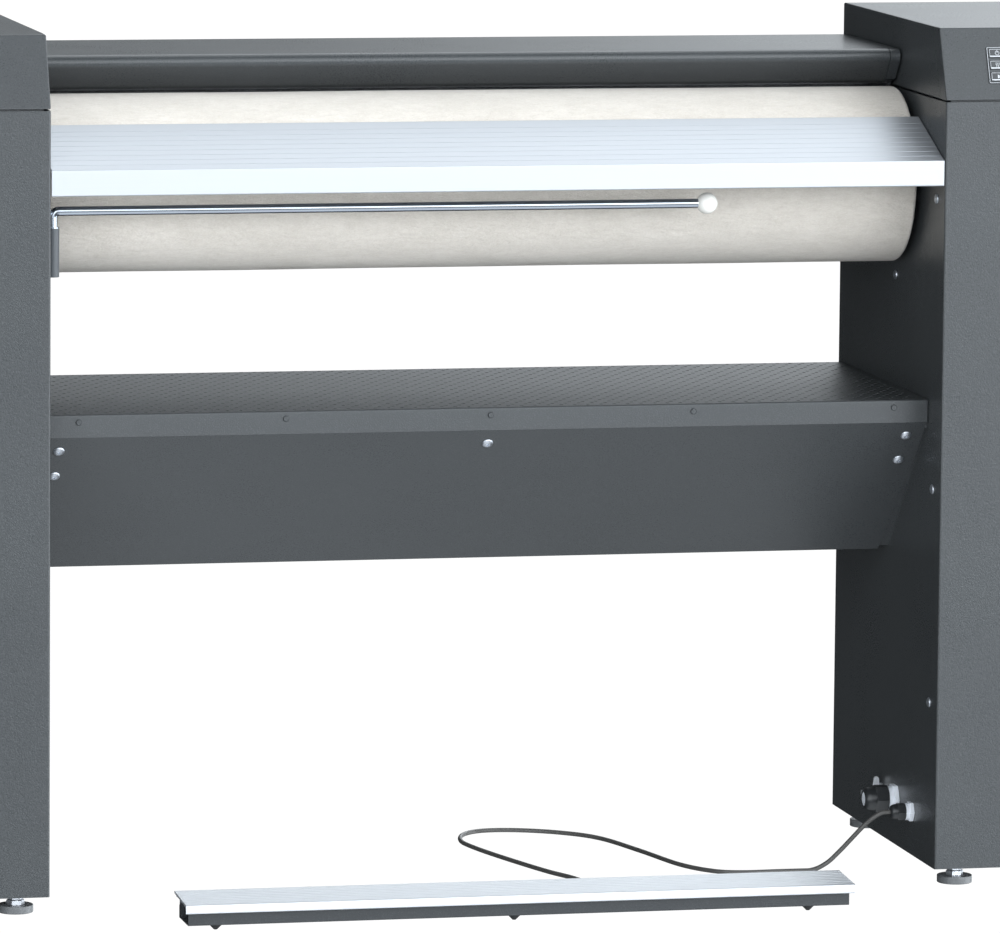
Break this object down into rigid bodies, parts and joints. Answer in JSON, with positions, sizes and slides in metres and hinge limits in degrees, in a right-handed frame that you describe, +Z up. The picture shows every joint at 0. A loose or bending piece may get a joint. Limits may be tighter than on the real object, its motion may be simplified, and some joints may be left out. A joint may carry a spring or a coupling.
{
  "type": "flatwork ironer",
  "caption": "Floor-standing rotary flatwork ironer: a cloth-covered roller between two columns, closed from behind by a heated pan, with feed board, laundry tray and foot bar.",
  "frame": {"origin": "on the floor, midway between the columns and at the middle of the depth over columns and foot bar", "axes": "+X along the roller to the column with the controls, +Y to the back, +Z up"},
  "size_m": [1.474, 0.632, 1.021],
  "materials": {
    "powder_coat": "fine-texture powder coat, anthracite",
    "frame_paint": "satin",
    "zinc": "zinc plated",
    "steel": "machined",
    "chrome": "polished",
    "anodised": "matt anodised",
    "pan_aluminium": "polished sole, cast back",
    "cast_grey": "painted casting",
    "cloth": "woven, off-white",
    "padding": "needled felt",
    "insulation": "mineral wool blanket",
    "white_plastic": "gloss",
    "black_plastic": "matt",
    "grey_plastic": "matt",
    "light_plastic": "matt",
    "key_plastic": "satin",
    "display": "gloss",
    "board_green": "solder mask",
    "lead_sheath": "matt",
    "foot_rubber": "matt"
  },
  "bodies": {
    "frame": {"left_side_frame": "frame_paint", "right_side_frame": "frame_paint", "cross_beam": "frame_paint", "base_frames": "frame_paint", "levelling_feet": "black_plastic", "foot_locknuts": "zinc", "left_casing": "powder_coat", "right_casing": "powder_coat", "left_side_cover": "powder_coat", "right_side_cover": "powder_coat", "left_back_cover": "powder_coat", "right_back_cover": "powder_coat", "left_hood": "powder_coat", "right_hood": "powder_coat", "panel_screws": "chrome", "roller_bearings": "cast_grey", "gear_motor": "cast_grey", "torque_arm": "zinc", "pan_pivot_pins": "zinc", "pan_actuator": "cast_grey", "feed_board": "anodised", "feed_board_brackets": "zinc", "laundry_tray": "powder_coat", "tray_apron": "powder_coat", "tray_brackets": "powder_coat", "tray_rivets": "powder_coat", "rail_sleeve": "grey_plastic", "control_panel": "grey_plastic", "display_window": "display", "control_board": "board_green", "power_terminals": "light_plastic", "foot_bar_base": "powder_coat", "foot_bar_pin": "zinc", "foot_bar_springs": "steel", "foot_switch": "black_plastic", "foot_bar_feet": "foot_rubber", "foot_lead": "lead_sheath", "lead_gland": "black_plastic", "mains_gland": "black_plastic", "earth_terminal": "zinc"},
    "roller": {"roller_tube": "steel", "roller_end_discs": "steel", "roller_shaft": "steel", "roller_padding": "padding", "roller_cloth": "cloth"},
    "pan": {"heated_pan": "pan_aluminium", "heating_elements": "steel", "pan_insulation": "insulation", "pan_cover": "powder_coat", "pan_cover_caps": "powder_coat", "left_pan_arm": "steel", "right_pan_arm": "steel"},
    "guard": {"finger_guard": "powder_coat"},
    "actuator_stem": {"actuator_rod": "zinc"},
    "rail": {"laundry_rail": "chrome", "rail_ball": "white_plastic"},
    "power_button": {"power_key": "key_plastic"},
    "heat_button": {"heat_key": "key_plastic"},
    "start_button": {"start_key": "key_plastic"},
    "tread": {"foot_bar_tread": "anodised"}
  },
  "joints": [
    {"name": "roller_spin", "type": "hinge", "parent": "frame", "child": "roller", "pos_m": [0, 0.044, 0.835], "axis": [1, 0, 0], "continuous": true},
    {"name": "pan_press", "type": "hinge", "parent": "frame", "child": "pan", "pos_m": [0, 0.111, 0.62], "axis": [1, 0, 0], "range_deg": [0, 2.29]},
    {"name": "guard_push", "type": "hinge", "parent": "pan", "child": "guard", "pos_m": [0, 0.063, 0.975], "axis": [1, 0, 0], "range_deg": [0, 6], "stiffness_Nm_per_rad": 2, "springref_deg": -5.73},
    {"name": "actuator_slide", "type": "slide", "parent": "frame", "child": "actuator_stem", "axis": [0, 0, -1], "range_m": [0, 0.0041]},
    {"name": "rail_swing", "type": "hinge", "parent": "frame", "child": "rail", "pos_m": [-0.5237, -0.113, 0.77], "axis": [0, 0, -1], "range_deg": [0, 85]},
    {"name": "power_press", "type": "slide", "parent": "frame", "child": "power_button", "axis": [0, 0.9174, -0.3979], "range_m": [0, 0.0012], "stiffness_N_per_m": 400, "springref_m": -0.001},
    {"name": "heat_press", "type": "slide", "parent": "frame", "child": "heat_button", "axis": [0, 0.9174, -0.3979], "range_m": [0, 0.0012], "stiffness_N_per_m": 400, "springref_m": -0.001},
    {"name": "start_press", "type": "slide", "parent": "frame", "child": "start_button", "axis": [0, 0.9174, -0.3979], "range_m": [0, 0.0012], "stiffness_N_per_m": 400, "springref_m": -0.001},
    {"name": "foot_bar_press", "type": "hinge", "parent": "frame", "child": "tread", "pos_m": [0, -0.256, 0.031], "axis": [1, 0, 0], "range_deg": [0, 5], "stiffness_Nm_per_rad": 10, "springref_deg": -8.59, "deforming": ["foot_bar_springs"]}
  ],
  "couplings": [
    {"joint": "actuator_slide", "follows": "pan_press", "m_per_rad": 0.1}
  ]
}
